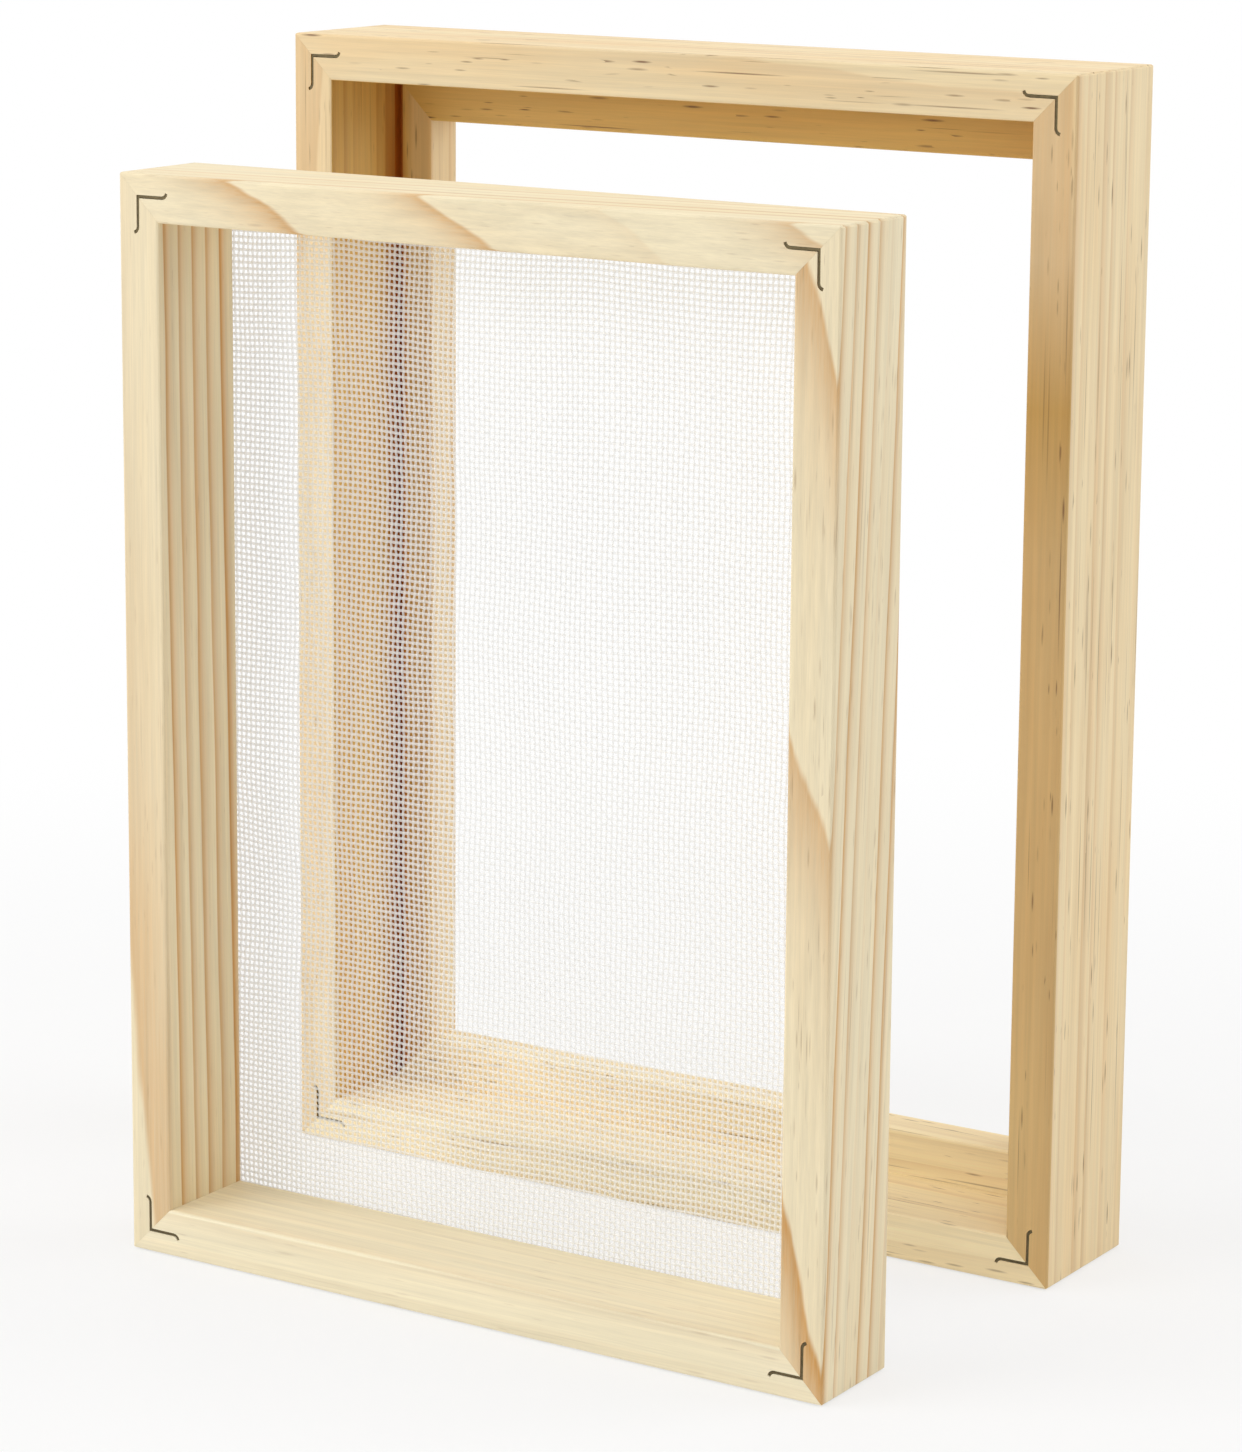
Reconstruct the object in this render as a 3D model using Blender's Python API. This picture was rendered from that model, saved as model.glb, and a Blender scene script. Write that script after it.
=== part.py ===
"""A papermaker's mould and deckle: two mitred pine frames that nest, one of them carrying a screen.

The mould stands in front, with its screen stapled across its rear face. The deckle stands behind it,
with the recess that takes the mould facing forwards. Metres, +Z up, with the origin on the floor
midway under the pair.
"""
import math
from collections import namedtuple

import bmesh
import bpy
from mathutils import Matrix, Vector

# Mould: outside size and batten width
MOULD_WIDTH = 0.170
MOULD_HEIGHT = 0.230
MOULD_DEPTH = 0.025
MOULD_BATTEN = 0.010

# Deckle: a recess round the mould, and a lip behind it that covers the edge of the screen
NEST_CLEARANCE = 0.0015
DECKLE_WALL = 0.010
RECESS_DEPTH = 0.024
LIP_WIDTH = 0.010
LIP_THICKNESS = 0.010
KERF_WIDTH = 0.0022
KERF_DEPTH = 0.0025

# How the pair stands on the floor
STAND_GAP = 0.059
MOULD_OFFSET = 0.006

# Joinery
EDGE_ROUND = 0.0005
EDGE_SEGMENTS = 2
GLUE_LINE = 0.0001
SEAT_GAP = 0.0001

# V nails, driven into the front face across each mitre
NAIL_INSET = 0.0048
NAIL_LEG = 0.0062
NAIL_DEPTH = 0.008
NAIL_THICKNESS = 0.0005
NAIL_SET = 0.0002
NAIL_CLEARANCE = 0.0001
CURL_RADIUS = 0.0012
CURL_SWEEP = math.radians(75)
CURL_STEPS = 4

# Screen: a flat net on the mould's rear face
NET_HEM = 0.003
NET_BAR = 0.0014
NET_THICKNESS = 0.0005
NET_COLUMNS = 14
NET_ROWS = 19

# Staples: each straddles one bar of the net
STAPLE_CROWN = 0.008
STAPLE_LEG = 0.006
STAPLE_WIRE = 0.0009
STAPLE_CLEARANCE = 0.0001
STAPLES_ACROSS = 4
STAPLES_UP = 5

# Sizes that follow from those above
RECESS_WIDTH = MOULD_WIDTH + 2 * NEST_CLEARANCE
RECESS_HEIGHT = MOULD_HEIGHT + 2 * NEST_CLEARANCE
DECKLE_WIDTH = RECESS_WIDTH + 2 * DECKLE_WALL
DECKLE_HEIGHT = RECESS_HEIGHT + 2 * DECKLE_WALL
DECKLE_DEPTH = RECESS_DEPTH + LIP_THICKNESS
PAIR_DEPTH = MOULD_DEPTH + STAND_GAP + DECKLE_DEPTH
MOULD_FRONT = -PAIR_DEPTH / 2
DECKLE_FRONT = PAIR_DEPTH / 2 - DECKLE_DEPTH
NET_WIDTH = MOULD_WIDTH - MOULD_BATTEN + 2 * NET_HEM
NET_HEIGHT = MOULD_HEIGHT - MOULD_BATTEN + 2 * NET_HEM
NET_REAR = MOULD_DEPTH + SEAT_GAP + NET_THICKNESS

# Quarter turns about the frame's own normal that carry the bottom batten to each side,
# and the bottom left corner to each corner
SIDES = (("bottom", 0), ("right", -90), ("top", 180), ("left", 90))
CORNERS = (("bottom_left", 0, -1, -1), ("bottom_right", -90, 1, -1),
           ("top_right", 180, 1, 1), ("top_left", 90, -1, 1))

Frame = namedtuple("Frame", "name width height parent wood")


def remove_objects():
    """Empties the scene."""
    for old in list(bpy.data.objects):
        bpy.data.objects.remove(old, do_unlink=True)


def make_material(name, colour, roughness, metallic=0.0):
    """Makes a plain Principled material."""
    material = bpy.data.materials.new(name)
    material.use_nodes = True
    shader = material.node_tree.nodes["Principled BSDF"]
    shader.inputs["Base Color"].default_value = (*colour, 1.0)
    shader.inputs["Roughness"].default_value = roughness
    shader.inputs["Metallic"].default_value = metallic
    return material


def make_empty(name, location):
    """Makes the parent that one frame's pieces hang from."""
    empty = bpy.data.objects.new(name, None)
    empty.location = location
    bpy.context.collection.objects.link(empty)
    return empty


def add_object(name, mesh, parent, material=None):
    """Links a mesh under its parent, in its own material."""
    obj = bpy.data.objects.new(name, mesh)
    obj.parent = parent
    if material:
        mesh.materials.append(material)
    bpy.context.collection.objects.link(obj)
    return obj


def mesh_from(bm, name):
    """Turns a bmesh into a mesh with its faces pointing out."""
    bmesh.ops.recalc_face_normals(bm, faces=bm.faces)
    mesh = bpy.data.meshes.new(name)
    bm.to_mesh(mesh)
    bm.free()
    return mesh


def mark_as_cutter(obj):
    """Keeps a cutting shape out of the finished object."""
    obj.hide_render = True
    obj.display_type = "WIRE"


def cut(obj, cutter):
    """Takes the cutter's shape out of an object."""
    boolean = obj.modifiers.new(cutter.name, "BOOLEAN")
    boolean.operation = "DIFFERENCE"
    boolean.solver = "EXACT"
    boolean.object = cutter


def thicken(obj, thickness):
    """Gives a surface an even thickness about its middle."""
    solidify = obj.modifiers.new("Thickness", "SOLIDIFY")
    solidify.thickness = thickness
    solidify.offset = 0.0
    solidify.use_even_offset = True


def side_sizes(frame, side):
    """Returns how far a side's outer face is from the frame's centre, and half the side's length."""
    if side in ("top", "bottom"):
        return frame.height / 2, frame.width / 2
    return frame.width / 2, frame.height / 2


def place_on_side(obj, frame, side, turn, along=0.0, depth=0.0, inward=0.0):
    """Puts an object modelled for the bottom side, outer face at z 0, on any side of a frame."""
    reach, _ = side_sizes(frame, side)
    spin = Matrix.Rotation(math.radians(turn), 4, "Y")
    centre = Vector((0, 0, frame.height / 2))
    obj.location = centre + spin @ Vector((along, depth, inward - reach))
    obj.rotation_euler = spin.to_euler()


def long_edge(vert):
    """Returns the edge that runs the batten's length from a point of its section."""
    return next(edge for edge in vert.link_edges if edge.other_vert(vert).co.x > 0)


def batten_mesh(name, section, half_length):
    """Extrudes a batten's section, rounds its marked edges and mitres both ends.

    The section is a list of (inward, depth, rounded) points. The batten lies along X.
    """
    bm = bmesh.new()
    near = [bm.verts.new((-half_length, depth, inward)) for inward, depth, _ in section]
    end = bm.faces.new(near)
    grown = bmesh.ops.extrude_face_region(bm, geom=[end])["geom"]
    far = [item for item in grown if isinstance(item, bmesh.types.BMVert)]
    bmesh.ops.translate(bm, verts=far, vec=(2 * half_length, 0, 0))
    rounded = [long_edge(vert) for vert, point in zip(near, section) if point[2]]
    bmesh.ops.bevel(bm, geom=rounded, offset=EDGE_ROUND, segments=EDGE_SEGMENTS,
                    profile=0.5, affect="EDGES", material=-1)
    for end_sign in (-1, 1):
        normal = Vector((end_sign, 0, 1)).normalized()
        point = Vector((end_sign * half_length, 0, 0)) - normal * GLUE_LINE / 2
        everything = bm.verts[:] + bm.edges[:] + bm.faces[:]
        sliced = bmesh.ops.bisect_plane(bm, geom=everything, plane_co=point, plane_no=normal,
                                        clear_outer=True)["geom_cut"]
        rim = [item for item in sliced if isinstance(item, bmesh.types.BMEdge)]
        bmesh.ops.edgeloop_fill(bm, edges=rim)
    return mesh_from(bm, name)


def mould_section():
    """Plain rectangle, with all four edges eased."""
    return [(0, 0, True), (MOULD_BATTEN, 0, True),
            (MOULD_BATTEN, MOULD_DEPTH, True), (0, MOULD_DEPTH, True)]


def deckle_section(kerf):
    """L shape: the wall round the recess and the lip behind it.

    A saw that cuts the rebate past its corner leaves a kerf in the lip.
    """
    lip_edge = DECKLE_WALL + LIP_WIDTH
    corner = [(DECKLE_WALL, RECESS_DEPTH, False)]
    if kerf:
        kerf_edge = DECKLE_WALL + KERF_WIDTH
        kerf_floor = RECESS_DEPTH + KERF_DEPTH
        corner = [(DECKLE_WALL, kerf_floor, False), (kerf_edge, kerf_floor, False),
                  (kerf_edge, RECESS_DEPTH, False)]
    return [(0, 0, True), (DECKLE_WALL, 0, True), *corner, (lip_edge, RECESS_DEPTH, True),
            (lip_edge, DECKLE_DEPTH, True), (0, DECKLE_DEPTH, True)]


def make_battens(frame, upright_section, rail_section):
    """Makes the four mitred battens of a frame, two uprights and two rails, and returns them by side."""
    battens = {}
    for side, turn in SIDES:
        _, half_length = side_sizes(frame, side)
        section = upright_section if side in ("left", "right") else rail_section
        name = f"{frame.name}_{side}_batten"
        batten = add_object(name, batten_mesh(name, section, half_length), frame.parent, frame.wood)
        place_on_side(batten, frame, side, turn)
        battens[side] = batten
    return battens


def nail_path(extra):
    """Returns the V nail's outline seen from the front, from one curled tip to the other.

    The frame's outer corner is at the origin. Each leg runs along a batten, and its tip curls
    back towards the outer edge. The tips run on by the extra length.
    """
    leg_end = NAIL_INSET + NAIL_LEG
    sweep = CURL_SWEEP + extra / CURL_RADIUS
    leg = []
    for step in range(CURL_STEPS + 1):
        angle = math.pi / 2 - sweep * step / CURL_STEPS
        leg.append((leg_end + CURL_RADIUS * math.cos(angle),
                    NAIL_INSET - CURL_RADIUS + CURL_RADIUS * math.sin(angle)))
    other_leg = [(z, x) for x, z in reversed(leg)]
    return other_leg + [(NAIL_INSET, NAIL_INSET)] + leg


def nail_mesh(name, extra, front, rear):
    """Sweeps the V nail's outline straight back into the wood, as a surface with no thickness."""
    bm = bmesh.new()
    points = [bm.verts.new((x, front, z)) for x, z in nail_path(extra)]
    line = [bm.edges.new(pair) for pair in zip(points, points[1:])]
    grown = bmesh.ops.extrude_edge_only(bm, edges=line)["geom"]
    deep = [item for item in grown if isinstance(item, bmesh.types.BMVert)]
    bmesh.ops.translate(bm, verts=deep, vec=(0, rear - front, 0))
    return mesh_from(bm, name)


def add_nail(name, frame, corner, extra, front, rear, thickness, material=None):
    """Puts one V nail, or the shape of its slot, at a corner of a frame."""
    _, turn, right, up = corner
    nail = add_object(name, nail_mesh(name, extra, front, rear), frame.parent, material)
    nail.location = (right * frame.width / 2, 0, (1 + up) * frame.height / 2)
    nail.rotation_euler = (0, math.radians(turn), 0)
    thicken(nail, thickness)
    return nail


def make_nails(frame, battens, steel):
    """Drives a V nail across each mitre, and cuts its slot in the two battens that meet there."""
    for corner in CORNERS:
        name = f"{frame.name}_v_nail_{corner[0]}"
        rear = NAIL_SET + NAIL_DEPTH
        add_nail(name, frame, corner, 0.0, NAIL_SET, rear, NAIL_THICKNESS, steel)
        slot = add_nail(f"{name}_slot", frame, corner, NAIL_CLEARANCE, -NAIL_DEPTH,
                        rear + NAIL_CLEARANCE, NAIL_THICKNESS + 2 * NAIL_CLEARANCE)
        mark_as_cutter(slot)
        for side in corner[0].split("_"):
            cut(battens[side], slot)


def bar_starts(size, gaps):
    """Returns where each bar of the net starts along one direction, about its middle."""
    pitch = (size - NET_BAR) / gaps
    return [index * pitch - size / 2 for index in range(gaps + 1)]


def make_net(frame, thread):
    """Makes the screen: a flat grid of bars, with one opening in each mesh of the grid."""
    columns = [edge for start in bar_starts(NET_WIDTH, NET_COLUMNS) for edge in (start, start + NET_BAR)]
    rows = [edge for start in bar_starts(NET_HEIGHT, NET_ROWS) for edge in (start, start + NET_BAR)]
    bm = bmesh.new()
    grid = [[bm.verts.new((x, 0, z)) for z in rows] for x in columns]
    for i in range(len(columns) - 1):
        for j in range(len(rows) - 1):
            opening = i % 2 == 1 and j % 2 == 1
            if not opening:
                bm.faces.new((grid[i][j], grid[i + 1][j], grid[i + 1][j + 1], grid[i][j + 1]))
    net = add_object("screen_net", mesh_from(bm, "screen_net"), frame.parent, thread)
    net.location = (0, NET_REAR - NET_THICKNESS / 2, frame.height / 2)
    thicken(net, NET_THICKNESS)


def staple_mesh():
    """Makes a staple with its crown's underside at y 0 and its legs running forwards into the wood."""
    half = STAPLE_CROWN / 2
    inner = half - STAPLE_WIRE
    outline = [(-half, STAPLE_WIRE), (-half, -STAPLE_LEG), (-inner, -STAPLE_LEG), (-inner, 0),
               (inner, 0), (inner, -STAPLE_LEG), (half, -STAPLE_LEG), (half, STAPLE_WIRE)]
    bm = bmesh.new()
    flat = bm.faces.new([bm.verts.new((x, y, -STAPLE_WIRE / 2)) for x, y in outline])
    grown = bmesh.ops.extrude_face_region(bm, geom=[flat])["geom"]
    top = [item for item in grown if isinstance(item, bmesh.types.BMVert)]
    bmesh.ops.translate(bm, verts=top, vec=(0, 0, STAPLE_WIRE))
    return mesh_from(bm, "staple")


def staple_places(side):
    """Returns where the staples of one side sit along it: on bars of the net, evenly spread."""
    across = side in ("top", "bottom")
    gaps = NET_COLUMNS if across else NET_ROWS
    size = NET_WIDTH if across else NET_HEIGHT
    count = STAPLES_ACROSS if across else STAPLES_UP
    starts = bar_starts(size, gaps)
    return [starts[round((i + 0.5) * gaps / count)] + NET_BAR / 2 for i in range(count)]


def leg_holes_mesh(name, places):
    """Makes one block for each leg of a side's staples, with clearance all round."""
    width = STAPLE_WIRE + 2 * STAPLE_CLEARANCE
    length = NET_REAR + SEAT_GAP - MOULD_DEPTH + STAPLE_LEG + STAPLE_CLEARANCE
    offset = (STAPLE_CROWN - STAPLE_WIRE) / 2
    bm = bmesh.new()
    for place in places:
        for x in (place - offset, place + offset):
            middle = Matrix.Translation((x, -length / 2, 0))
            bmesh.ops.create_cube(bm, size=1.0, matrix=middle @ Matrix.Diagonal((width, length, width, 1)))
    return mesh_from(bm, name)


def make_staples(frame, battens, steel):
    """Staples the screen to the rear face of each batten, along the batten's middle."""
    mesh = staple_mesh()
    mesh.materials.append(steel)
    crown = NET_REAR + SEAT_GAP
    for side, turn in SIDES:
        places = staple_places(side)
        name = f"staple_{side}_holes"
        holes = add_object(name, leg_holes_mesh(name, places), frame.parent)
        place_on_side(holes, frame, side, turn, 0.0, crown, MOULD_BATTEN / 2)
        mark_as_cutter(holes)
        cut(battens[side], holes)
        for number, place in enumerate(places, 1):
            staple = add_object(f"staple_{side}_{number}", mesh, frame.parent)
            place_on_side(staple, frame, side, turn, place, crown, MOULD_BATTEN / 2)


def main():
    remove_objects()
    mould_pine = make_material("mould_pine", (0.88, 0.75, 0.50), 0.55)
    deckle_pine = make_material("deckle_pine", (0.80, 0.58, 0.31), 0.55)
    nail_steel = make_material("nail_steel", (0.16, 0.13, 0.10), 0.45, 1.0)
    staple_steel = make_material("staple_steel", (0.60, 0.60, 0.58), 0.35, 1.0)
    net_thread = make_material("net_thread", (0.85, 0.85, 0.82), 0.5)

    mould_foot = make_empty("mould", (MOULD_OFFSET, MOULD_FRONT, 0))
    deckle_foot = make_empty("deckle", (0, DECKLE_FRONT, 0))
    mould = Frame("mould", MOULD_WIDTH, MOULD_HEIGHT, mould_foot, mould_pine)
    deckle = Frame("deckle", DECKLE_WIDTH, DECKLE_HEIGHT, deckle_foot, deckle_pine)

    mould_battens = make_battens(mould, mould_section(), mould_section())
    make_nails(mould, mould_battens, nail_steel)
    make_net(mould, net_thread)
    make_staples(mould, mould_battens, staple_steel)

    deckle_battens = make_battens(deckle, deckle_section(kerf=True), deckle_section(kerf=False))
    make_nails(deckle, deckle_battens, nail_steel)


main()
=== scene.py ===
# %% [markdown]
# # A papermaker's mould and deckle
#
# Two small pine frames stand one behind the other. The front one, the mould, carries a white woven
# screen on its rear face. The rear one, the deckle, has a rebate that the mould nests in. The lesson
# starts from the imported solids, which are already the right shape and size, and gives them wood,
# steel, a real weave, soft light and a camera.

# %% Load the solids and keep their box
import math

import bmesh
import bpy
from mathutils import Matrix, Vector, noise


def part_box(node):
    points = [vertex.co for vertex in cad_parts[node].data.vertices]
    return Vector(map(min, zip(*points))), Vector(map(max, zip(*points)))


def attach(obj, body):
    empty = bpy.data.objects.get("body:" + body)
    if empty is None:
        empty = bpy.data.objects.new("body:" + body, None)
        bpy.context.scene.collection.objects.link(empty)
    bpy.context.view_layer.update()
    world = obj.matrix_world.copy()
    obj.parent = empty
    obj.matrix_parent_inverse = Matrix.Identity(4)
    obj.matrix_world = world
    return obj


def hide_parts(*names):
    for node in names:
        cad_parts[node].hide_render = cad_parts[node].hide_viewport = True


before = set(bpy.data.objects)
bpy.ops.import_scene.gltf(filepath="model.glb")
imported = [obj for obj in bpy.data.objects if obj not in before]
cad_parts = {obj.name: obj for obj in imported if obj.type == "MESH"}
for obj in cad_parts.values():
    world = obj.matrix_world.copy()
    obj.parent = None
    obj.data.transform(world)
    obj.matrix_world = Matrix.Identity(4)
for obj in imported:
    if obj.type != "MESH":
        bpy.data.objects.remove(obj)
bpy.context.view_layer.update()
scene = bpy.context.scene

# %% [markdown]
# ## The camera
#
# The photograph looks at the pair from its right front corner, a little from above. Its place was
# found by fitting a pinhole camera to the corners of both frames. A long lens from about a metre
# keeps the converging lines gentle, and a small upward shift of the image keeps the uprights upright.

# %% Place the camera
LENS = 113.44
SENSOR = 36.0
SHIFT_UP = -0.0868
VIEW_POINT = (0.5087, -0.7917, 0.3225)
VIEW_TURN = (79.038, -0.422, 32.507)

camera = bpy.data.objects.new("view_camera", bpy.data.cameras.new("view_camera"))
camera.data.lens = LENS
camera.data.sensor_width = SENSOR
camera.data.shift_y = SHIFT_UP
camera.data.clip_start = 0.01
camera.location = VIEW_POINT
camera.rotation_euler = [math.radians(angle) for angle in VIEW_TURN]
scene.collection.objects.link(camera)
scene.camera = camera
print("camera at", VIEW_POINT, "lens", LENS)

# %% [markdown]
# ## A white studio
#
# The pair stands on a white floor before a white background. Each frame has a face to the front, one
# to the right and one to the top, so three broad soft lamps light those three directions: one from the
# left front, one from the right and a little behind, and one from above. The insides of the frames face
# none of them and stay brown. A dim white world fills what the lamps leave. It shows as plain white only
# to the camera and in reflections, through Light Path, so it can be dim as a light. The floor is mostly
# plain white to the camera as well, keeps a weak soft shadow under the pair, and fades to pure white.


# %% Helpers that add a node, set a socket and join two sockets
def add_node(tree, kind, **settings):
    node = tree.nodes.new("ShaderNode" + kind)
    for name, value in settings.items():
        setattr(node, name, value)
    return node


def feed(tree, socket, value):
    """Join another socket to this one, or set it to a number or colour."""
    if isinstance(value, bpy.types.NodeSocket):
        tree.links.new(value, socket)
    else:
        socket.default_value = value


def calculate(tree, operation, first, second=None, third=None, clamp=False):
    node = add_node(tree, "Math", operation=operation, use_clamp=clamp)
    for socket, value in zip(node.inputs, (first, second, third)):
        if value is not None:
            feed(tree, socket, value)
    return node.outputs[0]


def seen_directly(tree):
    """1 for camera, mirror and glass rays, 0 for rays that only carry light."""
    path = add_node(tree, "LightPath")
    either = calculate(tree, "MAXIMUM", path.outputs["Is Camera Ray"], path.outputs["Is Glossy Ray"])
    return calculate(tree, "MAXIMUM", either, path.outputs["Is Transmission Ray"])


# %% The world
FILL_STRENGTH = 0.4

world = bpy.data.worlds.new("white_studio")
world.use_nodes = True
scene.world = world
tree = world.node_tree
tree.nodes.clear()
background = add_node(tree, "Background")
background.inputs["Color"].default_value = (1, 1, 1, 1)
strength = add_node(tree, "MapRange")
feed(tree, strength.inputs["Value"], seen_directly(tree))
strength.inputs["To Min"].default_value = FILL_STRENGTH
strength.inputs["To Max"].default_value = 1.0
tree.links.new(strength.outputs["Result"], background.inputs["Strength"])
world_output = add_node(tree, "OutputWorld")
tree.links.new(background.outputs[0], world_output.inputs["Surface"])
scene.view_settings.view_transform = "Standard"
print("world fill", FILL_STRENGTH)

# %% [markdown]
# The floor is one large square. Its material mixes a lit white with a plain one: near the pair some of
# the lit white shows, so the shadow does too, and further out the plain white takes over.

# %% The floor
FLOOR_SIZE = 12.0
FLOOR_DROP = 0.0002
SHADOW_SHARE = 0.35
SHADOW_NEAR = 0.15
SHADOW_FAR = 0.5

floor_material = bpy.data.materials.new("white_floor")
floor_material.use_nodes = True
tree = floor_material.node_tree
tree.nodes.clear()
lit = add_node(tree, "BsdfDiffuse")
lit.inputs["Color"].default_value = (0.9, 0.9, 0.9, 1)
plain = add_node(tree, "Emission")
plain.inputs["Color"].default_value = (1, 1, 1, 1)
place = add_node(tree, "TexCoord")
distance = add_node(tree, "VectorMath", operation="LENGTH")
tree.links.new(place.outputs["Object"], distance.inputs[0])
whiteness = add_node(tree, "MapRange", interpolation_type="SMOOTHSTEP")
feed(tree, whiteness.inputs["Value"], distance.outputs["Value"])
whiteness.inputs["From Min"].default_value = SHADOW_NEAR
whiteness.inputs["From Max"].default_value = SHADOW_FAR
whiteness.inputs["To Min"].default_value = 1.0 - SHADOW_SHARE
whiteness.inputs["To Max"].default_value = 1.0
share = calculate(tree, "MULTIPLY", seen_directly(tree), whiteness.outputs["Result"])
blend_floor = add_node(tree, "MixShader")
feed(tree, blend_floor.inputs[0], share)
tree.links.new(lit.outputs[0], blend_floor.inputs[1])
tree.links.new(plain.outputs[0], blend_floor.inputs[2])
floor_output = add_node(tree, "OutputMaterial")
tree.links.new(blend_floor.outputs[0], floor_output.inputs["Surface"])

sheet = bmesh.new()
bmesh.ops.create_grid(sheet, x_segments=1, y_segments=1, size=FLOOR_SIZE / 2)
bmesh.ops.translate(sheet, verts=sheet.verts, vec=(0, 0, -FLOOR_DROP))
floor_mesh = bpy.data.meshes.new("floor")
sheet.to_mesh(floor_mesh)
sheet.free()
floor_mesh.materials.append(floor_material)
floor = bpy.data.objects.new("floor", floor_mesh)
scene.collection.objects.link(floor)
print("floor", FLOOR_SIZE, "m wide")

# %% [markdown]
# Each lamp is a square of 1.2 m about 1.7 m away, so its shadows are soft. The left front lamp is the
# strongest on the faces that the camera sees most of.

# %% Three soft lamps
AIM = Vector((0, 0, 0.12))
LAMPS = {
    "left_front_lamp": ((-1.03, -1.22, 0.70), 1.2, 13.3),
    "right_rear_lamp": ((1.31, 0.92, 0.70), 1.2, 9.4),
    "top_lamp": ((0.0, -0.06, 1.82), 1.2, 12.2),
}
for name, (place, size, power) in LAMPS.items():
    lamp = bpy.data.lights.new(name, "AREA")
    lamp.shape = "SQUARE"
    lamp.size = size
    lamp.energy = power
    lamp_object = bpy.data.objects.new(name, lamp)
    lamp_object.location = place
    lamp_object.rotation_euler = (AIM - Vector(place)).to_track_quat("-Z", "Y").to_euler()
    scene.collection.objects.link(lamp_object)
print("lamps", ", ".join(LAMPS))

# %% [markdown]
# ## Pine
#
# A batten is sawn from a tree, so its grain is a slice through long, nearly round growth rings. The
# lines on one face carry on over the edge to the next face, and where a face lies nearly along a ring
# the rings open into broad slanting bands. A flat stripe pattern can't do that, so the wood is solid:
# a Mapping node puts the X axis on the tree's heart, the distance from that axis says how far out in
# the tree a point is, and the fraction of that distance over one year's growth says where in its ring
# it lies. One node group holds this, and each batten places its own heart line.


# %% A group that turns a point in the tree into pine
def group_inputs(tree, sockets):
    for name, kind, value in sockets:
        socket = tree.interface.new_socket(name, in_out="INPUT", socket_type="NodeSocket" + kind)
        if value is not None:
            socket.default_value = value


def group_outputs(tree, sockets):
    for name, kind in sockets:
        tree.interface.new_socket(name, in_out="OUTPUT", socket_type="NodeSocket" + kind)


def stretch(tree, vector, along, across):
    """Scale a point so that a round pattern becomes long in the grain's direction."""
    node = add_node(tree, "VectorMath", operation="MULTIPLY")
    feed(tree, node.inputs[0], vector)
    node.inputs[1].default_value = (along, across, across)
    return node.outputs["Vector"]


def soft_noise(tree, vector, detail, roughness=0.5):
    node = add_node(tree, "TexNoise")
    feed(tree, node.inputs["Vector"], vector)
    node.inputs["Scale"].default_value = 1.0
    node.inputs["Detail"].default_value = detail
    node.inputs["Roughness"].default_value = roughness
    return node.outputs["Fac"]


def steps(tree, value, stops):
    """A ramp of grey values, given as pairs of position and brightness."""
    ramp = add_node(tree, "ValToRGB")
    feed(tree, ramp.inputs["Fac"], value)
    elements = ramp.color_ramp.elements
    while len(elements) < len(stops):
        elements.new(0.5)
    for element, (position, level) in zip(elements, stops):
        element.position = position
        element.color = (level, level, level, 1)
    return ramp.outputs["Color"]


def mix_colour(tree, share, first, second, blend_type="MIX"):
    node = add_node(tree, "Mix", data_type="RGBA", blend_type=blend_type)
    feed(tree, node.inputs[0], share)
    feed(tree, node.inputs[6], first)
    feed(tree, node.inputs[7], second)
    return node.outputs[2]


WANDER = 0.5
WAVER = 0.06
WEATHER_PACE = 110.0
WEATHER_REACH = 2.4
WEAKEST_YEAR = 0.15
YEAR_SPREAD = 0.95

pine = bpy.data.node_groups.new("pine_grain", "ShaderNodeTree")
group_inputs(pine, [
    ("Point", "Vector", None),
    ("Ring Width", "Float", 0.0043),
    ("Phase", "Float", 0.0),
    ("Early Wood", "Color", (0.8, 0.7, 0.5, 1)),
    ("Late Wood", "Color", (0.6, 0.4, 0.2, 1)),
    ("Ring Strength", "Float", 0.6),
    ("Sharpness", "Float", 3.0),
    ("Ring End", "Float", 0.97),
    ("Stain", "Color", (0.7, 0.5, 0.25, 1)),
    ("Stain Share", "Float", 0.3),
    ("Fleck", "Color", (0.25, 0.12, 0.04, 1)),
    ("Fleck Share", "Float", 0.5),
    ("Unevenness", "Float", 0.0),
])
group_outputs(pine, [("Colour", "Color"), ("Roughness", "Float"), ("Height", "Float")])
given = pine.nodes.new("NodeGroupInput").outputs
point = given["Point"]

parts = add_node(pine, "SeparateXYZ")
feed(pine, parts.inputs[0], point)
outward = calculate(pine, "SQRT", calculate(
    pine, "ADD",
    calculate(pine, "MULTIPLY", parts.outputs["Y"], parts.outputs["Y"]),
    calculate(pine, "MULTIPLY", parts.outputs["Z"], parts.outputs["Z"]),
))
wander = soft_noise(pine, stretch(pine, point, 9.0, 60.0), 2.0)
waver = soft_noise(pine, stretch(pine, point, 45.0, 420.0), 2.0)
years = calculate(pine, "DIVIDE", outward, given["Ring Width"])
years = calculate(pine, "ADD", years, given["Phase"])
years = calculate(pine, "MULTIPLY_ADD", wander, WANDER, years)
years = calculate(pine, "MULTIPLY_ADD", waver, WAVER, years)
weather = add_node(pine, "TexNoise", noise_dimensions="1D")
pace = calculate(pine, "MULTIPLY_ADD", outward, WEATHER_PACE, given["Phase"])
feed(pine, weather.inputs["W"], pace)
weather.inputs["Scale"].default_value = 1.0
weather.inputs["Detail"].default_value = 1.0
uneven = calculate(pine, "SUBTRACT", weather.outputs["Fac"], 0.5)
uneven = calculate(pine, "MULTIPLY", uneven, WEATHER_REACH)
years = calculate(pine, "MULTIPLY_ADD", uneven, given["Unevenness"], years)
season = calculate(pine, "FRACT", years)
ending = add_node(pine, "MapRange", interpolation_type="SMOOTHSTEP")
feed(pine, ending.inputs["Value"], season)
feed(pine, ending.inputs["From Min"], given["Ring End"])
ending.inputs["To Min"].default_value = 1.0
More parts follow.
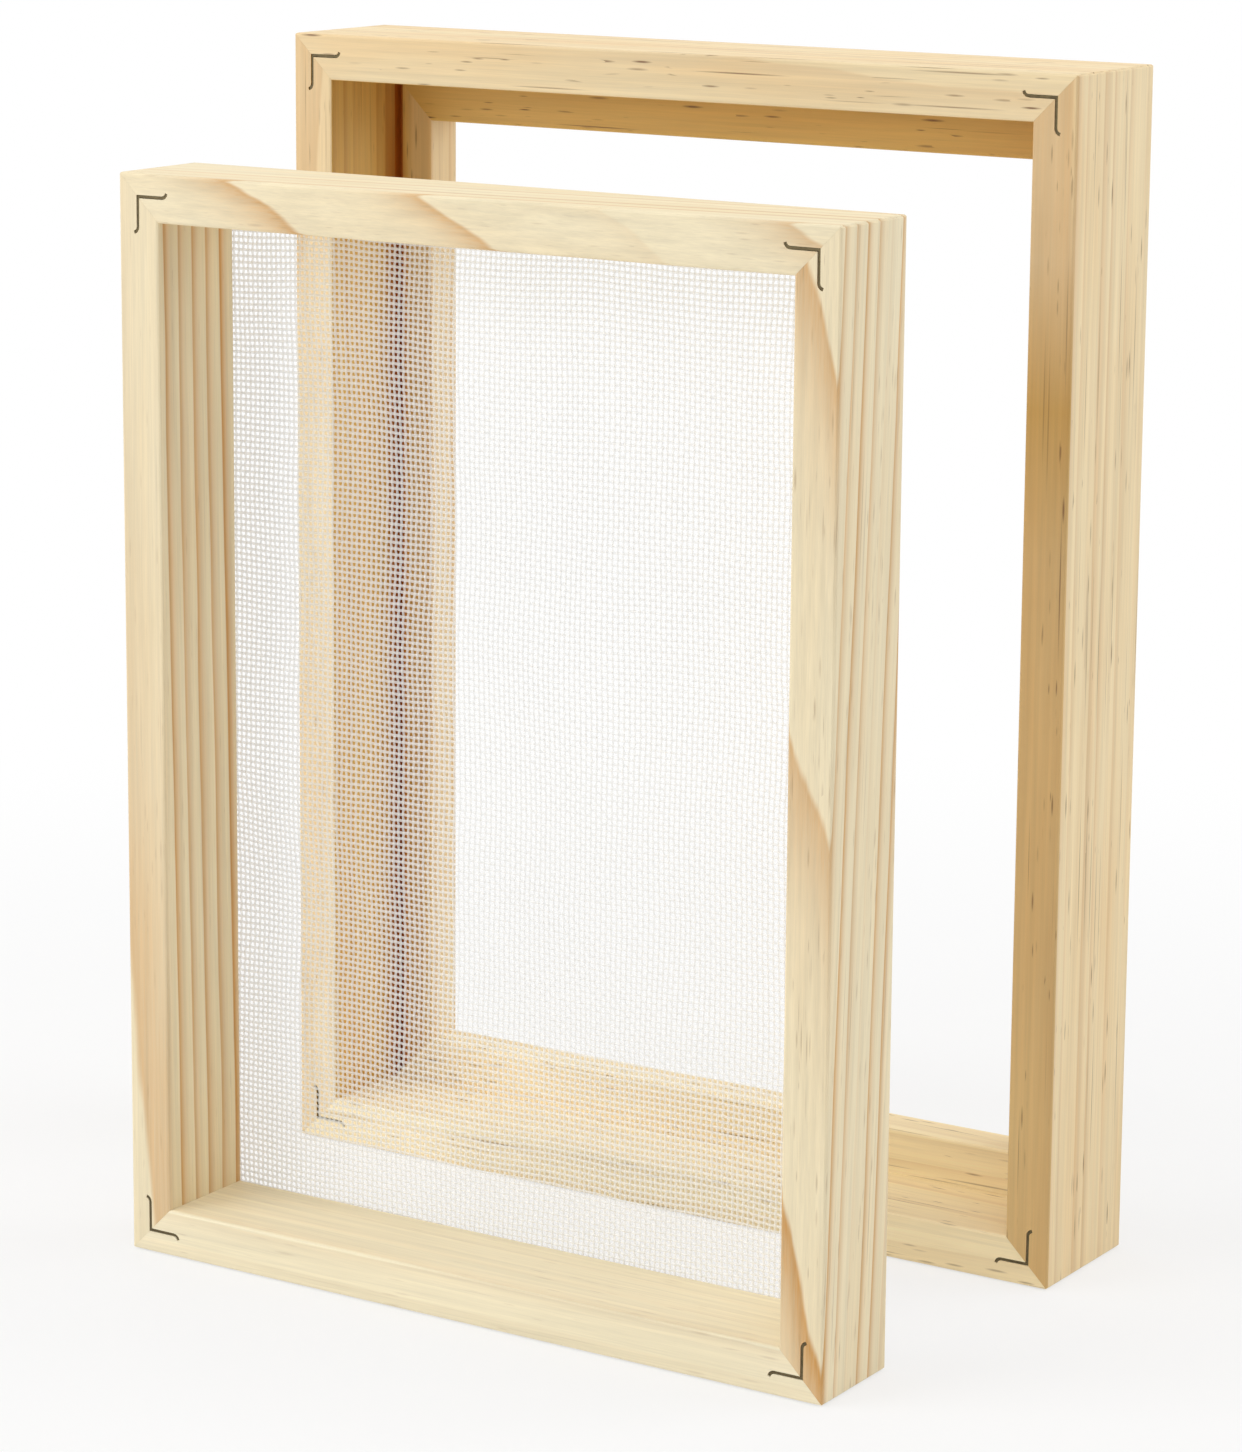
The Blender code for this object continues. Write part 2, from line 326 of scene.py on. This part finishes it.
ending.inputs["To Max"].default_value = 0.0
late = calculate(pine, "POWER", season, given["Sharpness"])
late = calculate(pine, "MULTIPLY", late, ending.outputs["Result"])
each_year = add_node(pine, "TexWhiteNoise", noise_dimensions="1D")
feed(pine, each_year.inputs["W"], calculate(pine, "FLOOR", years))
year_strength = calculate(
    pine, "MULTIPLY_ADD", each_year.outputs["Value"], YEAR_SPREAD, WEAKEST_YEAR)
fibre = soft_noise(pine, stretch(pine, point, 60.0, 3600.0), 3.0, 0.6)
streak = soft_noise(pine, stretch(pine, point, 14.0, 700.0), 3.0, 0.6)
late_share = calculate(pine, "MULTIPLY", late, year_strength)
late_share = calculate(pine, "MULTIPLY", late_share, given["Ring Strength"])
late_share = calculate(
    pine, "MULTIPLY", late_share, calculate(pine, "MULTIPLY_ADD", fibre, 0.8, 0.6), clamp=True)

cloud = soft_noise(pine, stretch(pine, point, 16.0, 110.0), 3.0)
cloud = steps(pine, cloud, [(0.35, 0), (0.7, 1)])
stain_share = calculate(pine, "MULTIPLY", cloud, given["Stain Share"])
colour = mix_colour(pine, stain_share, given["Early Wood"], given["Stain"])
colour = mix_colour(pine, late_share, colour, given["Late Wood"])
tone = steps(pine, streak, [(0.25, 0.9), (0.75, 1.09)])
colour = mix_colour(pine, 1.0, colour, tone, "MULTIPLY")
tone = steps(pine, fibre, [(0.2, 0.94), (0.8, 1.06)])
colour = mix_colour(pine, 1.0, colour, tone, "MULTIPLY")


def marks(along, across, shortest, spread, share):
    """Scattered dashes in the grain's direction, one here and there to a cell, gathered in patches."""
    cells = add_node(pine, "TexVoronoi", voronoi_dimensions="3D", feature="F1")
    feed(pine, cells.inputs["Vector"], stretch(pine, point, along, across))
    cells.inputs["Scale"].default_value = 1.0
    pick = add_node(pine, "SeparateColor")
    feed(pine, pick.inputs[0], cells.outputs["Color"])
    reach = calculate(pine, "MULTIPLY_ADD", pick.outputs[1], spread, shortest)
    dash = calculate(pine, "DIVIDE", cells.outputs["Distance"], reach)
    dash = steps(pine, dash, [(0.3, 1.0), (1.0, 0.0)])
    darkness = calculate(pine, "MULTIPLY_ADD", pick.outputs[2], 0.6, 0.4)
    dash = calculate(pine, "MULTIPLY", dash, darkness)
    patch = soft_noise(pine, stretch(pine, point, along / 6, across / 6), 2.0)
    patch = calculate(pine, "MULTIPLY", steps(pine, patch, [(0.4, 0), (0.62, 1)]), share)
    return calculate(pine, "MULTIPLY", dash, calculate(pine, "LESS_THAN", pick.outputs[0], patch))


short_flecks = marks(110.0, 1000.0, 0.12, 0.26, 0.8)
long_flecks = marks(20.0, 1700.0, 0.14, 0.26, 0.6)
fleck_share = calculate(pine, "MAXIMUM", short_flecks, long_flecks)
fleck_share = calculate(pine, "MULTIPLY", fleck_share, given["Fleck Share"], clamp=True)
colour = mix_colour(pine, fleck_share, colour, given["Fleck"])

roughness = calculate(pine, "MULTIPLY_ADD", fibre, 0.14, 0.5)
roughness = calculate(pine, "MULTIPLY_ADD", late_share, -0.1, roughness)
height = calculate(pine, "MULTIPLY_ADD", late_share, 0.5, fibre)
height = calculate(pine, "MULTIPLY_ADD", fleck_share, -0.8, height)
result = pine.nodes.new("NodeGroupOutput").inputs
feed(pine, result["Colour"], colour)
feed(pine, result["Roughness"], roughness)
feed(pine, result["Height"], height)
print("pine group with", len(pine.nodes), "nodes")

# %% [markdown]
# ## Eight battens, each cut from its own place in the tree
#
# The mould's wood is pale and cream coloured, with few marks. The deckle's is warmer, and carries many
# short dark resin flecks. For each batten the outward direction says how the rings lie in its section,
# and the lean says how much the heart line runs out of its length: a small lean makes the long slanting
# bands on the faces that lie along the rings.


# %% Give each batten its heart line and its tones
def srgb(red, green, blue):
    """A colour as a paint program shows it, turned into the linear light that nodes use."""
    def linear(value):
        value /= 255
        return value / 12.92 if value <= 0.04045 else ((value + 0.055) / 1.055) ** 2.4
    return (linear(red), linear(green), linear(blue), 1)


CREAM = dict(early=srgb(242, 228, 193), late=srgb(206, 152, 80), stain=srgb(236, 203, 146),
             fleck=srgb(140, 98, 56))
HONEY = dict(early=srgb(242, 221, 178), late=srgb(192, 134, 64), stain=srgb(230, 184, 114),
             fleck=srgb(112, 72, 36))
PALE_CREAM = dict(CREAM, early=srgb(248, 236, 203))
PALE_HONEY = dict(HONEY, early=srgb(254, 236, 192))

# For each batten: the direction out of the tree, the way its heart line runs, how far off that line is,
# the width of a ring, the season at the middle of its front face (the whole part picks the year, the
# rest is 0 pale to 1 dark), how strong and how narrow the dark rings are, and how much of the rest shows.
BATTENS = {
    "mould_right_batten": dict(
        outward=(0.16, -0.99, 0), lean=(0, 0.046, 1), radius=0.04, width=0.0043, season=7.88,
        rings=1.05, sharp=3.5, end=0.96, stain=0.2, flecks=0.4, uneven=0.0, tones=CREAM),
    "mould_left_batten": dict(
        outward=(-0.15, -0.99, 0), lean=(0, -0.014, 1), radius=0.04, width=0.0047, season=11.64,
        rings=1.35, sharp=2.6, end=0.93, stain=0.2, flecks=0.2, uneven=0.0, tones=CREAM),
    "mould_top_batten": dict(
        outward=(0, -0.97, 0.22), lean=(1, 0.1, 0), radius=0.08, width=0.0043, season=4.075,
        rings=1.0, sharp=5.0, end=0.95, stain=0.2, flecks=0.2, uneven=0.0, tones=CREAM),
    "mould_bottom_batten": dict(
        outward=(0, -0.6, 0.8), lean=(1, 0.01, 0.008), radius=0.08, width=0.0048, season=0.3,
        rings=0.2, sharp=2.5, end=0.95, stain=0.0, flecks=0.2, uneven=0.0, tones=PALE_CREAM),
    "deckle_right_batten": dict(
        outward=(-0.05, -1, 0), lean=(0, 0.004, 1), radius=0.08, width=0.0042, season=6.82,
        rings=0.45, sharp=2.5, end=0.93, stain=0.3, flecks=0.75, uneven=0.9, tones=HONEY),
    "deckle_left_batten": dict(
        outward=(0.15, -0.98, 0), lean=(0, -0.01, 1), radius=0.08, width=0.004, season=8.35,
        rings=0.5, sharp=2.5, end=0.95, stain=0.4, flecks=0.5, uneven=0.6, tones=HONEY),
    "deckle_top_batten": dict(
        outward=(0, -0.95, 0.3), lean=(1, 0.012, 0), radius=0.08, width=0.0042, season=9.3,
        rings=0.35, sharp=3.0, end=0.95, stain=0.3, flecks=1.0, uneven=0.6, tones=HONEY),
    "deckle_bottom_batten": dict(
        outward=(0, -0.5, 0.86), lean=(1, -0.012, 0.01), radius=0.08, width=0.0042, season=9.3,
        rings=0.25, sharp=3.0, end=0.95, stain=0.1, flecks=0.9, uneven=0.6, tones=PALE_HONEY),
}
# The attribute of painted shade on a face: from 0 to 1 the painted shade of the rebate, from 1 to 2 the
# deeper painted shade of the kerf and the corner beside it.
PAINTED_SHADE_LAYER = "painted_shade"
# Painted shade: the tint of the shaded rebate, and the darker tint of the shaded kerf and its corner.
RECESS_SHADE_TINT = srgb(228, 204, 138)
DEEP_SHADE_TINT = srgb(222, 155, 68)
GRAIN_RELIEF = 0.25
GRAIN_DEPTH = 0.0001


def pine_material(name, outward, lean, radius, width, season, rings, sharp, end, stain, flecks,
                  uneven, tones):
    """Pine for one batten, with its heart line put where the batten's facts say."""
    low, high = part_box(name)
    middle = (low + high) / 2
    heart = middle - Vector(outward).normalized() * radius
    front = Vector((middle.x, low.y, middle.z)) - heart
    along = Vector(lean).normalized()
    front_radius = (front - along * front.dot(along)).length
    material = bpy.data.materials.new(name + "_pine")
    material.use_nodes = True
    tree = material.node_tree
    shader = tree.nodes["Principled BSDF"]
    coordinates = add_node(tree, "TexCoord")
    mapping = add_node(tree, "Mapping", vector_type="TEXTURE")
    mapping.inputs["Location"].default_value = heart
    mapping.inputs["Rotation"].default_value = along.to_track_quat("X", "Z").to_euler()
    tree.links.new(coordinates.outputs["Object"], mapping.inputs["Vector"])
    wood = add_node(tree, "Group", node_tree=pine)
    tree.links.new(mapping.outputs["Vector"], wood.inputs["Point"])
    wood.inputs["Ring Width"].default_value = width
    wood.inputs["Phase"].default_value = season - front_radius / width - (WANDER + WAVER) / 2
    wood.inputs["Early Wood"].default_value = tones["early"]
    wood.inputs["Late Wood"].default_value = tones["late"]
    wood.inputs["Ring Strength"].default_value = rings
    wood.inputs["Sharpness"].default_value = sharp
    wood.inputs["Ring End"].default_value = end
    wood.inputs["Stain"].default_value = tones["stain"]
    wood.inputs["Stain Share"].default_value = stain
    wood.inputs["Fleck"].default_value = tones["fleck"]
    wood.inputs["Fleck Share"].default_value = flecks
    wood.inputs["Unevenness"].default_value = uneven
    colour = wood.outputs["Colour"]
    # On the deckle, painted shade is read from the attribute: a tint for the shade in the rebate, and a
    # darker one for the kerf and the corner beside it.
    if name.startswith("deckle"):
        painted_shade = add_node(tree, "Attribute", attribute_name=PAINTED_SHADE_LAYER).outputs["Fac"]
        deep_shade_share = calculate(tree, "SUBTRACT", painted_shade, 1.0, clamp=True)
        painted_shade = calculate(tree, "MINIMUM", painted_shade, 1.0)
        colour = mix_colour(tree, painted_shade, colour, RECESS_SHADE_TINT, "MULTIPLY")
        colour = mix_colour(tree, deep_shade_share, colour, DEEP_SHADE_TINT, "MULTIPLY")
    bump = add_node(tree, "Bump")
    bump.inputs["Strength"].default_value = GRAIN_RELIEF
    bump.inputs["Distance"].default_value = GRAIN_DEPTH
    tree.links.new(wood.outputs["Height"], bump.inputs["Height"])
    tree.links.new(bump.outputs["Normal"], shader.inputs["Normal"])
    tree.links.new(colour, shader.inputs["Base Color"])
    tree.links.new(wood.outputs["Roughness"], shader.inputs["Roughness"])
    shader.inputs["Specular IOR Level"].default_value = 0.5
    return material


print("materials planned for", len(BATTENS), "battens")

# %% [markdown]
# ## Tight mitres and painted shade in the rebate
#
# The solids have the slots for the V nails, the holes for the staples and the eased edges, but their
# mitres stand a tenth of a millimetre apart for the glue, which would show as a dark line. On the real
# frames the joint is tight. So each batten is a copy of its solid: the loose triangles are merged, flat
# neighbours are joined, the mitre faces are pushed together to a hairline and a small facet takes the
# point off each outer corner. The deckle's rebate gets painted shade, which tints its faces warmer and
# darker. The kerf beside the lip and the corner next to it get a deeper painted shade, and the front of
# the right batten gets a painted shadow of the mould. A number at each corner of a face says how much,
# and the material reads it.


# %% Copy each batten, close its mitres and paint shade into its rebate
GLUE_LINE = 0.0001
HAIRLINE = 0.00002
TIP_FACET = 0.0004
WALL = 0.010
LIP_DEPTH = 0.024
KERF_DEPTH = 0.0025
KERF_WIDTH = 0.0022
EASED = 0.0006
INWARD = {"left": (1, 0, 0), "right": (-1, 0, 0), "top": (0, 0, -1), "bottom": (0, 0, 1)}
# How much painted shade the recess's wall, the lip's front and the lip's rim get, by side of the deckle.
RECESS_SHADE_SHARES = {
    "left": (1.0, 0.65, 0.1),
    "right": (1.0, 0.5, 0.5),
    "top": (1.0, 1.0, 1.0),
    "bottom": (0, 0, 0),
}
# The value of the deepest painted shade, in the kerf.
DEEP_SHADE_VALUE = 2.0
# Painted shade in the corner by the left kerf, where the mould's shadow and the corner darken it: a strip
# of the wall and one of the lip beside it, less at the top.
SHADED_WALL_STRIP = 0.0045
SHADED_LIP_STRIP = 0.003
CORNER_SHADE = 0.85
CORNER_SHADE_TOP = 0.3
CORNER_SHADE_HEIGHT = 0.205
# The painted shadow of the mould on the right batten's front: how dark, by height.
MOULD_SHADOW = ((0.0, 0.6), (0.155, 0.6), (0.185, 0.95), (0.215, 0.15), (0.253, 0.15))


def frame_box(body):
    """The low and the high corner of a whole frame."""
    boxes = [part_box(f"{body}_{side}_batten") for side in INWARD]
    return [Vector(pick(box[end][axis] for box in boxes) for axis in range(3))
            for end, pick in ((0, min), (1, max))]


def close_mitres(bm):
    """Push both slanted ends out until only a hairline is left between neighbours."""
    for face in bm.faces:
        if abs(abs(face.normal.x) - abs(face.normal.z)) < 0.01 and abs(face.normal.y) < 0.01:
            if face.calc_area() > 1e-5:
                bmesh.ops.translate(bm, verts=face.verts, vec=face.normal * (GLUE_LINE - HAIRLINE) / 2)


def blunt_tips(bm, body):
    """Cut a small facet at each of the frame's four outer corners."""
    low, high = frame_box(body)
    middle = (low + high) / 2
    for x in (low.x, high.x):
        for z in (low.z, high.z):
            out = Vector((math.copysign(1, x - middle.x), 0, math.copysign(1, z - middle.z))).normalized()
            cut = bmesh.ops.bisect_plane(
                bm, geom=bm.verts[:] + bm.edges[:] + bm.faces[:], dist=1e-7,
                plane_co=Vector((x, 0, z)) - out * TIP_FACET, plane_no=out, clear_outer=True)["geom_cut"]
            rim = [part for part in cut if isinstance(part, bmesh.types.BMEdge)]
            if rim:
                bmesh.ops.holes_fill(bm, edges=rim)


def cut_at(bm, place, normal):
    """Cut all faces along a plane, without taking anything away."""
    bmesh.ops.bisect_plane(bm, geom=bm.verts[:] + bm.edges[:] + bm.faces[:], dist=1e-7,
                           plane_co=place, plane_no=normal)


def mould_shadow_at(height):
    """How much painted shadow of the mould the right batten's front gets at a height, read between the
    values above.
    """
    for (low, first), (high, second) in zip(MOULD_SHADOW, MOULD_SHADOW[1:]):
        if height <= high:
            return first + (second - first) * (height - low) / (high - low)
    return MOULD_SHADOW[-1][1]


def corner_shade_at(value, nearness, height):
    """Painted shade darkening towards the kerf: nearness is 0 at the strip's far edge and 1 at the kerf."""
    strength = CORNER_SHADE if height < CORNER_SHADE_HEIGHT + HAIRLINE else CORNER_SHADE_TOP
    return value + (DEEP_SHADE_VALUE - value) * strength * min(max(nearness, 0), 1)


def mark_painted_shade(bm, name, side):
    """Give each corner of a deckle batten's faces the number that says how much painted shade it gets."""
    low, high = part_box(name)
    inward = Vector(INWARD[side])
    outer = min(low.dot(inward), high.dot(inward))
    wall, lip, rim = RECESS_SHADE_SHARES[side]
    cut_at(bm, (0, low.y + LIP_DEPTH, 0), (0, 1, 0))
    # The right batten's front is cut at the heights where its painted shadow of the mould changes.
    if side == "right":
        for height, _ in MOULD_SHADOW[1:-1]:
            cut_at(bm, (0, 0, height), (0, 0, 1))
    kerf_edge = WALL + KERF_WIDTH
    # The left side is cut where its painted corner shade ends.
    if side == "left":
        cut_at(bm, (0, low.y + LIP_DEPTH - SHADED_WALL_STRIP, 0), (0, 1, 0))
        cut_at(bm, (low.x + kerf_edge + SHADED_LIP_STRIP, 0, 0), (1, 0, 0))
        cut_at(bm, (0, 0, CORNER_SHADE_HEIGHT), (0, 0, 1))
    painted_shade = bm.loops.layers.float.new(PAINTED_SHADE_LAYER)
    for face in bm.faces:
        middle = face.calc_center_median()
        depth = middle.y - low.y
        inside = middle.dot(inward) - outer
        faces_in = face.normal.dot(inward) > 0.9
        in_kerf = LIP_DEPTH + HAIRLINE < depth < LIP_DEPTH + KERF_DEPTH + HAIRLINE
        value = 0.0
        # Painted shade: deepest in the kerf, then by share on the recess's wall, the lip's rim and the
        # lip's front.
        if in_kerf and WALL - HAIRLINE < inside < WALL + KERF_WIDTH + HAIRLINE:
            value = DEEP_SHADE_VALUE
        elif faces_in and depth < LIP_DEPTH:
            value = wall
        elif faces_in:
            value = rim
        elif face.normal.y < -0.9 and abs(depth - LIP_DEPTH) < EASED:
            value = lip
        for loop in face.loops:
            loop[painted_shade] = value
            place = loop.vert.co
            # The right batten's front takes the painted shadow of the mould, by height.
            if side == "right" and face.normal.y < -0.3 and depth < EASED:
                loop[painted_shade] = mould_shadow_at(place.z)
            # The left wall and lip get painted shade that darkens towards the kerf.
            elif side == "left" and value == wall:
                nearness = 1 - (low.y + LIP_DEPTH - place.y) / SHADED_WALL_STRIP
                loop[painted_shade] = corner_shade_at(value, nearness, place.z)
            elif side == "left" and value == lip:
                nearness = 1 - (place.x - low.x - kerf_edge) / SHADED_LIP_STRIP
                loop[painted_shade] = corner_shade_at(value, nearness, place.z)


def batten_wood(name, body, side):
    bm = bmesh.new()
    bm.from_mesh(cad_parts[name].data)
    bmesh.ops.remove_doubles(bm, verts=bm.verts, dist=1e-6)
    bmesh.ops.dissolve_limit(bm, angle_limit=math.radians(0.5), verts=bm.verts, edges=bm.edges)
    close_mitres(bm)
    blunt_tips(bm, body)
    # The deckle's battens get their painted shade.
    if body == "deckle":
        mark_painted_shade(bm, name, side)
    mesh = bpy.data.meshes.new(name + "_wood")
    bm.to_mesh(mesh)
    bm.free()
    return mesh


def add_piece(name, mesh, body, node):
    """Put a finished mesh in the scene, on its body and in place of its solid."""
    piece = bpy.data.objects.new(name, mesh)
    scene.collection.objects.link(piece)
    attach(piece, body)
    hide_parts(node)
    return piece


for name, facts in BATTENS.items():
    body, side = name.split("_")[:2]
    mesh = batten_wood(name, body, side)
    mesh.materials.clear()
    mesh.materials.append(pine_material(name, **facts))
    add_piece(name + "_wood", mesh, body, name)
    print(name, "faces", len(mesh.polygons))

# %% [markdown]
# ## V nails
#
# At each mitre a thin strip of steel, bent to a V, is driven into the front of the frame, so only its
# upper edge shows. Bare strip steel of this kind is dull and brownish grey. The solids have the right
# shape, so they only need their metal.


# %% Steel for the V nails and the staples
TARNISH_SCALE = 900.0
STEEL_SHARE = 0.85


def steel_material(name, dark, light, roughness):
    """Steel with a fine tarnish that changes both its colour and its gloss."""
    material = bpy.data.materials.new(name)
    material.use_nodes = True
    tree = material.node_tree
    shader = tree.nodes["Principled BSDF"]
    coordinates = add_node(tree, "TexCoord")
    scaled = add_node(tree, "Mapping")
    scaled.inputs["Scale"].default_value = [TARNISH_SCALE] * 3
    tree.links.new(coordinates.outputs["Object"], scaled.inputs["Vector"])
    tarnish = soft_noise(tree, scaled.outputs["Vector"], 4.0, 0.6)
    tree.links.new(mix_colour(tree, tarnish, dark, light), shader.inputs["Base Color"])
    gloss = calculate(tree, "MULTIPLY_ADD", tarnish, 0.25, roughness)
    feed(tree, shader.inputs["Roughness"], gloss)
    shader.inputs["Metallic"].default_value = STEEL_SHARE
    return material


nail_steel = steel_material("nail_steel", srgb(50, 42, 26), srgb(132, 118, 86), 0.4)
nails = [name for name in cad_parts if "_v_nail_" in name]
for name in nails:
    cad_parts[name].material_slots[0].material = nail_steel
print("V nails in steel:", len(nails))

# %% [markdown]
# ## Staples
#
# Staples hold the screen to the rear of the battens. A staple is one wire: leg, shoulder, crown,
# shoulder, leg. So its end, a square with round corners, is drawn through that path: pulled up the
# leg, spun round the shoulder, pulled along the crown, spun again and pushed down the other leg. The
# open ends are then filled. The same mesh is made for every staple and turned into its place.

# %% Draw one staple and set it at each node
CROWN = 0.008
WIRE = 0.0009
LEG = 0.006
SHOULDER = 0.0007
WIRE_ROUNDING = 0.22
SHOULDER_STEPS = 4


def staple_wire():
    """A staple with its crown along X, its legs down Z and the top of its crown at zero."""
    bm = bmesh.new()
    half = CROWN / 2 - WIRE / 2
    bmesh.ops.create_grid(bm, x_segments=1, y_segments=1, size=WIRE / 2)
    bmesh.ops.bevel(bm, geom=bm.verts[:], offset=WIRE * WIRE_ROUNDING, segments=2, profile=0.5,
                    affect="VERTICES", material=-1)
    bmesh.ops.delete(bm, geom=bm.faces[:], context="FACES_ONLY")
    bmesh.ops.translate(bm, verts=bm.verts, vec=(-half, 0, -LEG))
    end = bm.edges[:]

    def pull(move):
        nonlocal end
        made = bmesh.ops.extrude_edge_only(bm, edges=end)["geom"]
        end = [part for part in made if isinstance(part, bmesh.types.BMEdge)]
        moved = [part for part in made if isinstance(part, bmesh.types.BMVert)]
        bmesh.ops.translate(bm, verts=moved, vec=move)

    def turn(centre):
        nonlocal end
        made = bmesh.ops.spin(bm, geom=end, cent=centre, axis=(0, 1, 0), angle=math.radians(90),
                              steps=SHOULDER_STEPS)["geom_last"]
        end = [part for part in made if isinstance(part, bmesh.types.BMEdge)]

    low = -SHOULDER - WIRE / 2
    pull((0, 0, LEG + low))
    turn((-half + SHOULDER, 0, low))
    pull((2 * (half - SHOULDER), 0, 0))
    turn((half - SHOULDER, 0, low))
    pull((0, 0, -LEG - low))
    bmesh.ops.holes_fill(bm, edges=bm.edges[:], sides=0)
    bmesh.ops.remove_doubles(bm, verts=bm.verts, dist=1e-6)
    bmesh.ops.recalc_face_normals(bm, faces=bm.faces)
    return bm


staple_steel = steel_material("staple_steel", srgb(150, 150, 148), srgb(214, 213, 208), 0.25)
staple_names = sorted(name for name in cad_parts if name.startswith("staple_"))
for name in staple_names:
    low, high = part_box(name)
    upright = "_left_" in name or "_right_" in name
    # The crown's top faces the rear, so Z turns to Y, and X turns to Z on an upright batten.
    along = Vector((0, 0, 1)) if upright else Vector((1, 0, 0))
    out = Vector((0, 1, 0))
    turned = Matrix((along, out.cross(along), out)).transposed().to_4x4()
    place = Vector(((low.x + high.x) / 2, high.y, (low.z + high.z) / 2))
    wire = staple_wire()
    wire.transform(Matrix.Translation(place) @ turned)
    mesh = bpy.data.meshes.new(name + "_wire")
    wire.to_mesh(mesh)
    wire.free()
    mesh.materials.append(staple_steel)
    mesh.shade_smooth()
    add_piece(name + "_wire", mesh, "mould", name)
print("staples:", len(staple_names), "with", len(mesh.polygons), "faces each")

# %% [markdown]
# ## The woven screen
#
# The screen is a plain weave of white synthetic thread, coarse enough to count. A transparency pattern
# would look right only from one distance, so every thread is a real tube. All threads pass through one
# grid of crossings. At each crossing the warp goes over where the weft goes under, and at the next they
# change places. Loose hand-stretched cloth never has straight rows, so the grid of crossings itself
# sways a little, and warp and weft follow it together. The yarn is soft and lies flat, so the tubes are
# squashed to less than half their depth, and what is behind a thread shows through it a little.

# %% Lay out the crossings
COLUMN_PITCH = 0.00124
ROW_PITCH = 0.00127
COLUMNS = 134
ROWS = 179
THREAD = 0.0003
FLATNESS = 0.45
LIFT = 0.00016
# A broad sway and a fine one: how far apart its waves are, and how far it moves a crossing.
BROAD_SWAY = (0.03, 0.0009)
FINE_SWAY = (0.009, 0.0002)

low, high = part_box("screen_net")
middle = (low + high) / 2


def sway(x, z, seed, size, amount):
    return amount * noise.noise(Vector((x / size, z / size, seed)))


def crossing(column, row):
    x = (column - (COLUMNS - 1) / 2) * COLUMN_PITCH
    z = (row - (ROWS - 1) / 2) * ROW_PITCH
    across = sway(x, z, 1.7, *BROAD_SWAY) + sway(x, z, 5.1, *FINE_SWAY)
    up = sway(x, z, 9.3, *BROAD_SWAY) + sway(x, z, 13.9, *FINE_SWAY)
    return Vector((middle.x + x + across, middle.y, middle.z + z + up))


grid = [[crossing(column, row) for row in range(ROWS)] for column in range(COLUMNS)]
print("crossings", COLUMNS, "x", ROWS)


# %% Draw the threads as tubes
def thread_mesh(name, threads):
    """One mesh of many tubes, each along its own list of points."""
    lines = bpy.data.curves.new(name, "CURVE")
    lines.dimensions = "3D"
    lines.bevel_depth = THREAD
    lines.bevel_resolution = 0
    lines.use_fill_caps = True
    for points in threads:
        spline = lines.splines.new("POLY")
        spline.points.add(len(points) - 1)
        spline.points.foreach_set("co", [value for p in points for value in (*p, 1.0)])
    holder = bpy.data.objects.new(name + "_lines", lines)
    scene.collection.objects.link(holder)
    shape = holder.evaluated_get(bpy.context.evaluated_depsgraph_get())
    mesh = bpy.data.meshes.new_from_object(shape)
    mesh.name = name
    bpy.data.objects.remove(holder)
    bpy.data.curves.remove(lines)
    tubes = bmesh.new()
    tubes.from_mesh(mesh)
    bmesh.ops.remove_doubles(tubes, verts=tubes.verts, dist=THREAD / 100)
    bmesh.ops.scale(tubes, verts=tubes.verts, vec=(1, FLATNESS, 1),
                    space=Matrix.Translation((0, -middle.y, 0)))
    tubes.to_mesh(mesh)
    tubes.free()
    mesh.shade_flat()
    return mesh


def lifted(column, row, side):
    """A crossing moved to the front or the rear, more than it should be, because the tubes are squashed."""
    over = 1 if (column + row) % 2 else -1
    return grid[column][row] + Vector((0, side * over * LIFT / FLATNESS, 0))


warp = [[lifted(c, r, 1) for r in range(ROWS)] for c in range(COLUMNS)]
weft = [[lifted(c, r, -1) for c in range(COLUMNS)] for r in range(ROWS)]
THREAD_BODY = 0.56
thread_material = bpy.data.materials.new("white_thread")
thread_material.use_nodes = True
tree = thread_material.node_tree
shader = tree.nodes["Principled BSDF"]
coordinates = add_node(tree, "TexCoord")
scaled = add_node(tree, "Mapping")
scaled.inputs["Scale"].default_value = (220, 220, 220)
tree.links.new(coordinates.outputs["Object"], scaled.inputs["Vector"])
shade = soft_noise(tree, scaled.outputs["Vector"], 3.0)
tree.links.new(mix_colour(tree, shade, srgb(252, 252, 250), srgb(255, 255, 254)),
               shader.inputs["Base Color"])
shader.inputs["Roughness"].default_value = 0.45
# Only the near side of a thread counts, so that its far side doesn't darken what shows through.
inside = add_node(tree, "NewGeometry").outputs["Backfacing"]
feed(tree, shader.inputs["Alpha"], calculate(tree, "MULTIPLY_ADD", inside, -THREAD_BODY, THREAD_BODY))
for name, lines in (("screen_warp", warp), ("screen_weft", weft)):
    mesh = thread_mesh(name, lines)
    mesh.materials.clear()
    mesh.materials.append(thread_material)
    add_piece(name, mesh, "mould", "screen_net")
    print(name, "triangles", sum(len(face.vertices) - 2 for face in mesh.polygons))
